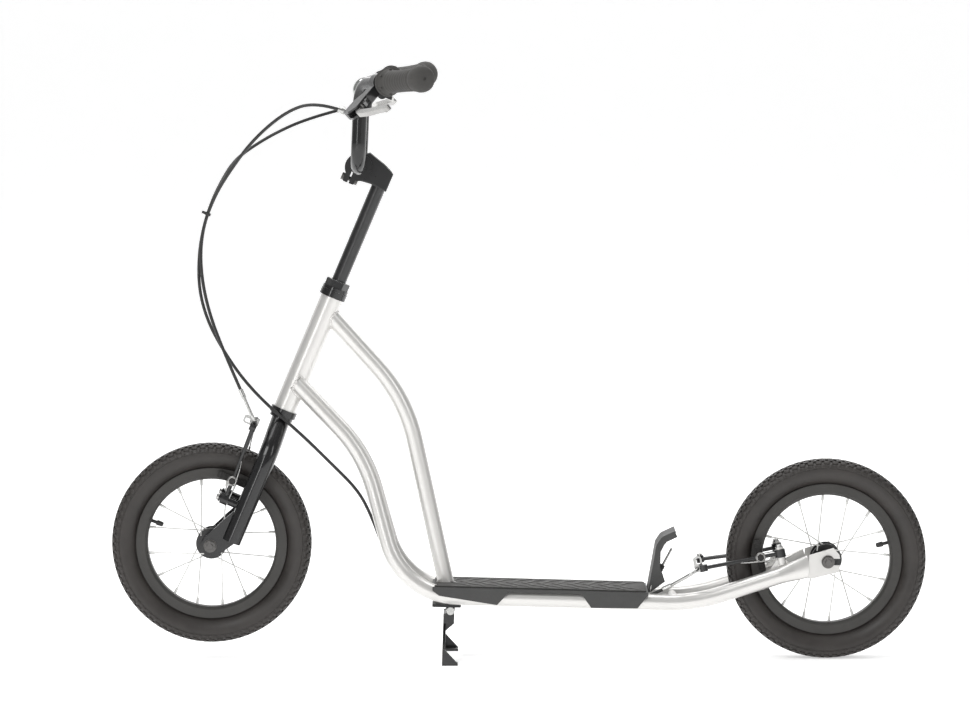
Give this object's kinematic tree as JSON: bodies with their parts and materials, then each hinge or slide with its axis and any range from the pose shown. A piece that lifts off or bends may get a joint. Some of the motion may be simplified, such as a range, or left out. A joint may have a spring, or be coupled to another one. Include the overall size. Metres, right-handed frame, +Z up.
{
  "type": "kick scooter",
  "caption": "Big-wheel kick scooter: curved top tube and twin rails, low deck with heel guard, swept bar, rim brakes, bell and a folding centre stand.",
  "frame": {"origin": "on the floor under the middle of the whole scooter, midway between the ends of its tyres", "axes": "+Z up, -X forward in the direction of travel, +Y to the right of the rider"},
  "size_m": [1.244, 0.5594, 0.909],
  "materials": {
    "frame_silver": "metallic silver lacquer",
    "gloss_black": "gloss black enamel",
    "black_alloy": "black painted alloy",
    "sheet_black": "satin black powder coat",
    "mat_rubber": "matte rubber",
    "grip_rubber": "matte rubber",
    "tyre_rubber": "moulded tyre rubber",
    "tube_rubber": "butyl rubber",
    "pad_rubber": "brake rubber",
    "polished_alloy": "polished alloy",
    "steel_bright": "zinc-plated steel",
    "nut_steel": "dark plated steel",
    "bell_chrome": "polished chrome",
    "black_plastic": "moulded black plastic",
    "cable_black": "black cable housing"
  },
  "bodies": {
    "frame": {"head_tube": "frame_silver", "top_tube": "frame_silver", "main_rail_left": "frame_silver", "main_rail_right": "frame_silver", "frame_brackets": "frame_silver", "rear_dropouts": "frame_silver", "rear_axle": "steel_bright", "rear_axle_nuts": "nut_steel", "deck_plate": "sheet_black", "grip_mat": "mat_rubber", "heel_guard": "sheet_black", "stand_pivot_pin": "steel_bright", "stand_spring": "steel_bright", "headset_cups": "gloss_black", "headset_bearings": "steel_bright", "rear_cable_run": "cable_black", "cable_clips": "black_plastic"},
    "fork": {"steerer_tube": "steel_bright", "headset_races": "gloss_black", "headset_locknut": "gloss_black", "fork_blades": "gloss_black", "fork_ends": "gloss_black", "front_axle": "steel_bright", "front_axle_nuts": "nut_steel", "rear_cable_middle": "cable_black"},
    "handlebar": {"stem": "black_alloy", "stem_fasteners": "nut_steel", "handlebar_tube": "gloss_black", "grips": "grip_rubber", "lever_brackets": "black_alloy", "barrel_adjusters": "steel_bright", "bell_base": "black_plastic", "bell_dome": "bell_chrome", "cable_tie": "black_plastic", "front_brake_cable": "cable_black", "rear_cable_upper": "cable_black"},
    "lever_left": {"lever_left": "polished_alloy"},
    "lever_right": {"lever_right": "polished_alloy"},
    "bell_thumb": {"bell_lever": "black_plastic"},
    "front_wheel": {"front_tyre": "tyre_rubber", "front_inner_tube": "tube_rubber", "front_rim": "black_alloy", "front_spokes": "steel_bright", "front_hub": "black_alloy"},
    "rear_wheel": {"rear_tyre": "tyre_rubber", "rear_inner_tube": "tube_rubber", "rear_rim": "black_alloy", "rear_spokes": "steel_bright", "rear_hub": "black_alloy"},
    "stand": {"stand_legs": "sheet_black"},
    "front_arm_left": {"front_brake_arm_left": "black_alloy", "front_brake_pad_left": "pad_rubber", "front_noodle": "steel_bright"},
    "front_arm_right": {"front_brake_arm_right": "black_alloy", "front_brake_pad_right": "pad_rubber"},
    "rear_arm_left": {"rear_brake_arm_left": "black_alloy", "rear_brake_pad_left": "pad_rubber", "rear_noodle": "steel_bright"},
    "rear_arm_right": {"rear_brake_arm_right": "black_alloy", "rear_brake_pad_right": "pad_rubber"}
  },
  "joints": [
    {"name": "steering", "type": "hinge", "parent": "frame", "child": "fork", "pos_m": [-0.35748, 0, 0.38255], "axis": [0.3917, 0, 0.9201], "range_deg": [-60, 60], "deforming": ["rear_cable_middle"]},
    {"name": "handlebar_height", "type": "slide", "parent": "fork", "child": "handlebar", "axis": [0.3917, 0, 0.9201], "range_m": [-0.1, 0.02], "deforming": ["front_brake_cable", "rear_cable_upper"]},
    {"name": "front_wheel_spin", "type": "hinge", "parent": "fork", "child": "front_wheel", "pos_m": [-0.46953, 0, 0.1781], "axis": [0, 1, 0], "continuous": true},
    {"name": "rear_wheel_spin", "type": "hinge", "parent": "frame", "child": "rear_wheel", "pos_m": [0.46953, 0, 0.1525], "axis": [0, 1, 0], "continuous": true},
    {"name": "brake_lever_left", "type": "hinge", "parent": "handlebar", "child": "lever_left", "pos_m": [-0.23735, -0.15655, 0.84646], "axis": [-0.6468, -0.2757, 0.7111], "range_deg": [0, 18], "stiffness_Nm_per_rad": 1.5, "springref_deg": -14.32},
    {"name": "brake_lever_right", "type": "hinge", "parent": "handlebar", "child": "lever_right", "pos_m": [-0.23735, 0.15655, 0.84646], "axis": [0.6468, -0.2757, -0.7111], "range_deg": [0, 18], "stiffness_Nm_per_rad": 1.5, "springref_deg": -14.32},
    {"name": "front_brake_left", "type": "hinge", "parent": "fork", "child": "front_arm_left", "pos_m": [-0.44783, -0.042, 0.2482], "axis": [-0.9201, 0, 0.3917], "range_deg": [0, 3.52]},
    {"name": "front_brake_right", "type": "hinge", "parent": "fork", "child": "front_arm_right", "pos_m": [-0.44783, 0.042, 0.2482], "axis": [0.9201, 0, -0.3917], "range_deg": [0, 3.52]},
    {"name": "rear_brake_left", "type": "hinge", "parent": "frame", "child": "rear_arm_left", "pos_m": [0.39733, -0.042, 0.16477], "axis": [0.1983, 0, -0.9801], "range_deg": [0, 3.52], "deforming": ["rear_cable_run"]},
    {"name": "rear_brake_right", "type": "hinge", "parent": "frame", "child": "rear_arm_right", "pos_m": [0.39733, 0.042, 0.16477], "axis": [-0.1983, 0, 0.9801], "range_deg": [0, 3.52]},
    {"name": "centre_stand", "type": "hinge", "parent": "frame", "child": "stand", "pos_m": [-0.10478, 0, 0.07562], "axis": [0, -1, 0], "range_deg": [0, 85]},
    {"name": "bell_thumb_lever", "type": "hinge", "parent": "handlebar", "child": "bell_thumb", "pos_m": [-0.20872, 0.0583, 0.8609], "axis": [0, 1, 0], "range_deg": [0, 25], "stiffness_Nm_per_rad": 0.05, "springref_deg": -22.92}
  ],
  "couplings": [
    {"joint": "front_brake_left", "follows": "brake_lever_left", "ratio": 0.19444},
    {"joint": "front_brake_right", "follows": "brake_lever_left", "ratio": 0.19444},
    {"joint": "rear_brake_left", "follows": "brake_lever_right", "ratio": 0.19444},
    {"joint": "rear_brake_right", "follows": "brake_lever_right", "ratio": 0.19444}
  ]
}
